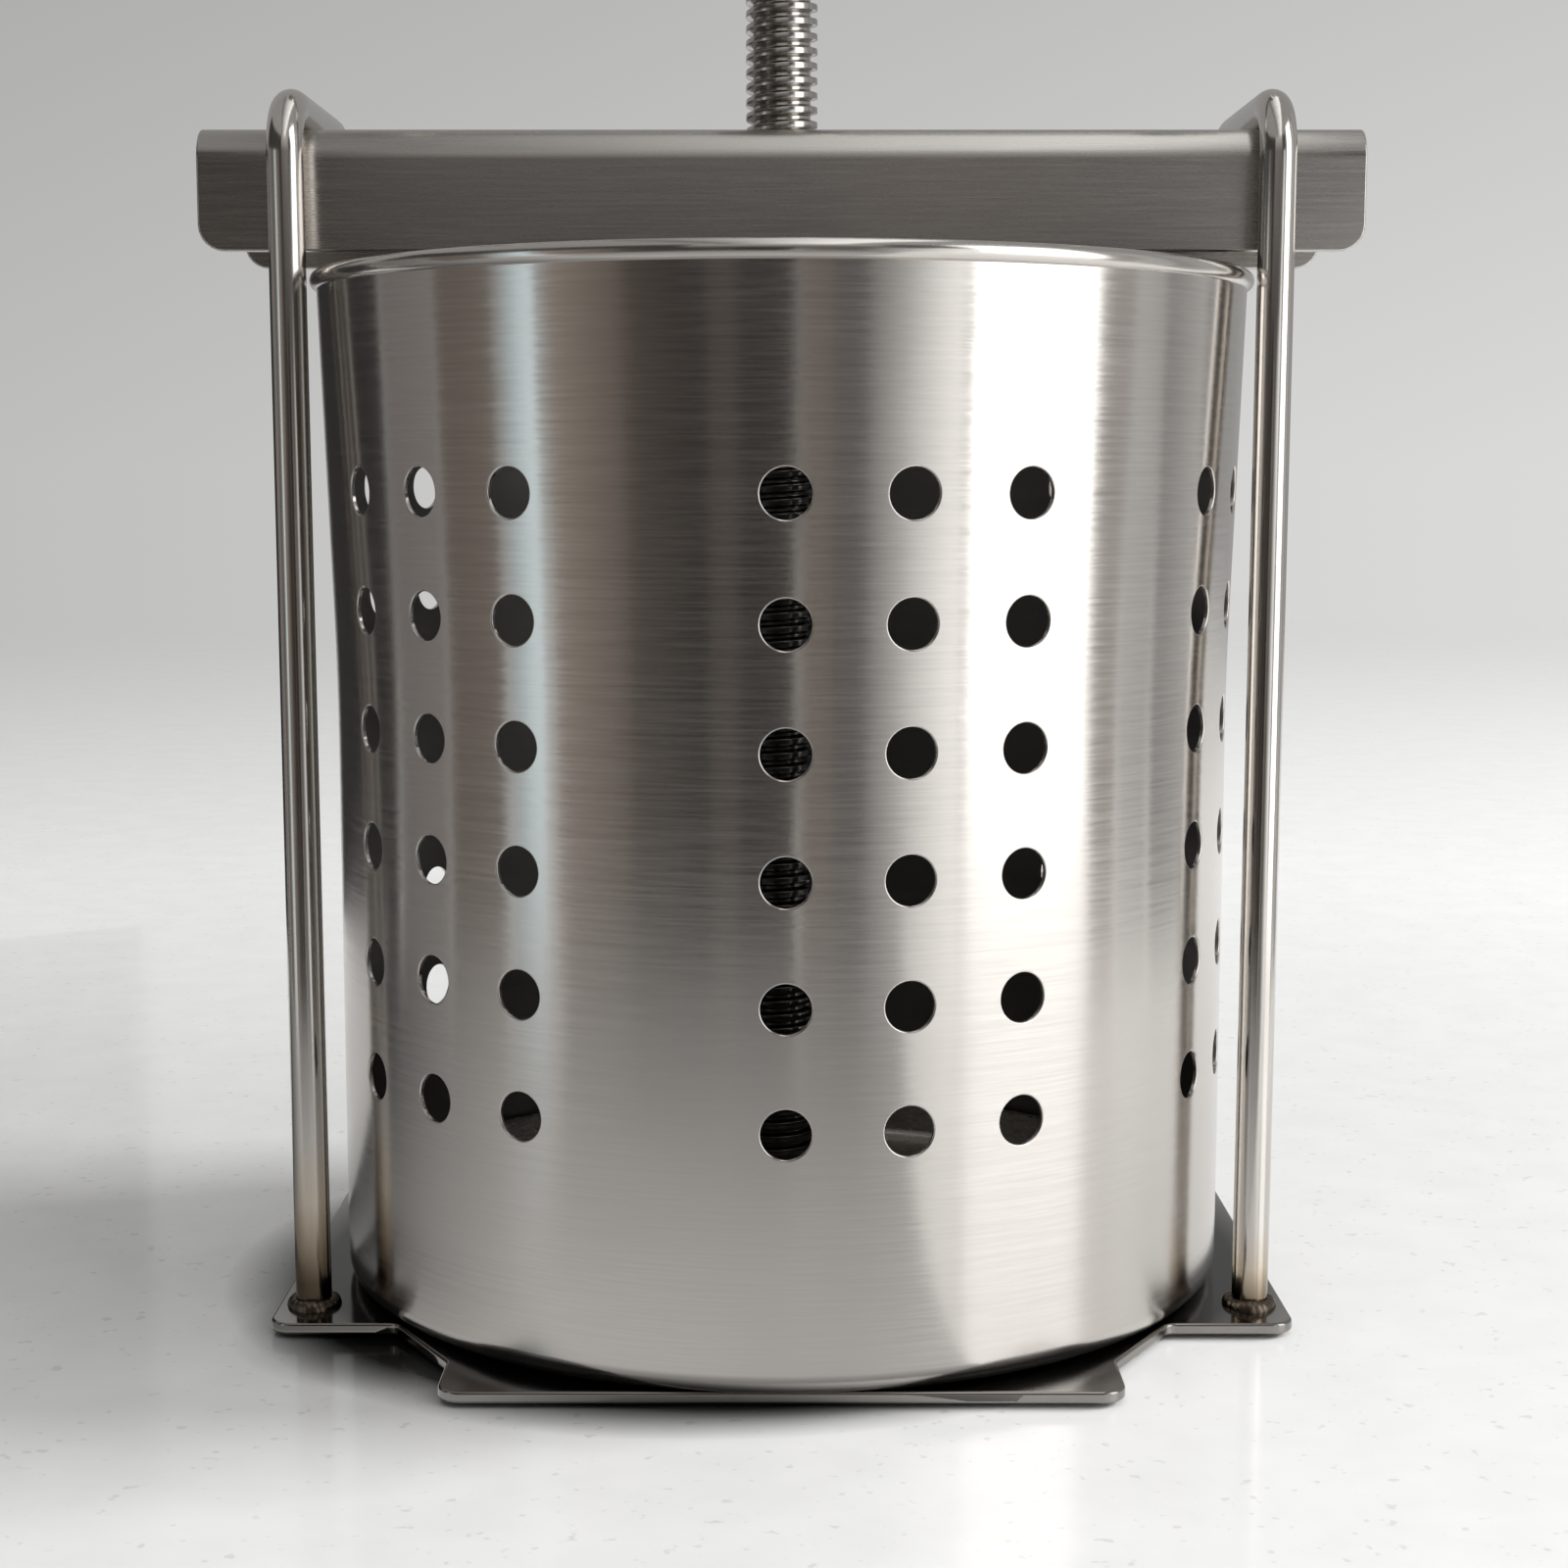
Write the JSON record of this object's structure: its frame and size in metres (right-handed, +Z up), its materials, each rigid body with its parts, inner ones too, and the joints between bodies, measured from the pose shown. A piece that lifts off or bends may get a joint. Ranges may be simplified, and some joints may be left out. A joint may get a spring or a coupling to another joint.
{
  "type": "vegetable press",
  "caption": "Screw press for draining chopped vegetables: perforated steel pot on a flat base with wire loops, channel crossbar, hand screw with T-handle and pressing disc.",
  "frame": {"origin": "on the pot's axis, in the underside of the base plate, where the press stands on a counter", "axes": "+Z up along the pot's and screw's axis, +X to the right along the crossbar, -Y towards the front"},
  "size_m": [0.2, 0.167, 0.2629],
  "materials": {
    "pot_steel": "fine brushed, along the girth",
    "plate_steel": "satin, with bright rounded edges",
    "bar_steel": "satin, brushed along its length",
    "wire_steel": "polished",
    "screw_steel": "rolled thread, bright crests",
    "turned_steel": "turned",
    "ring_steel": "plain",
    "handle_steel": "polished",
    "disc_steel": "satin",
    "weld_metal": "heat-tinted bead"
  },
  "bodies": {
    "frame": {"base_plate": "plate_steel", "left_loop": "wire_steel", "right_loop": "wire_steel", "loop_welds": "weld_metal"},
    "pot": {"press_pot": "pot_steel"},
    "crossbar": {"crossbar": "bar_steel", "screw_nut": "bar_steel", "nut_weld": "weld_metal"},
    "foot": {"swivel_foot": "turned_steel", "thrust_washer": "turned_steel"},
    "screw": {"press_screw": "screw_steel", "retaining_ring": "ring_steel", "handle_hub": "handle_steel", "hub_pin": "ring_steel", "handle_rod": "handle_steel", "left_knob": "handle_steel", "right_knob": "handle_steel"},
    "disc": {"press_disc": "disc_steel", "disc_bracket": "disc_steel", "bracket_rivets": "turned_steel"}
  },
  "joints": [
    {"name": "pot_turn", "type": "hinge", "parent": "frame", "child": "pot", "pos_m": [0, 0, 0], "axis": [0, 0, 1], "continuous": true},
    {"name": "crossbar_slide", "type": "slide", "parent": "frame", "child": "crossbar", "axis": [1, 0, 0], "range_m": [0, 0.024]},
    {"name": "screw_feed", "type": "slide", "parent": "crossbar", "child": "foot", "axis": [0, 0, 1], "range_m": [0, 0.1677]},
    {"name": "screw_turn", "type": "hinge", "parent": "foot", "child": "screw", "pos_m": [0, 0, 0.02], "axis": [0, 0, 1], "range_deg": [0, 23760]},
    {"name": "disc_travel", "type": "slide", "parent": "frame", "child": "disc", "axis": [0, 0, 1], "range_m": [0, 0.1677]}
  ],
  "couplings": [
    {"joint": "screw_feed", "follows": "screw_turn", "m_per_rad": 0.00040425},
    {"joint": "disc_travel", "follows": "screw_turn", "m_per_rad": 0.00040425}
  ]
}
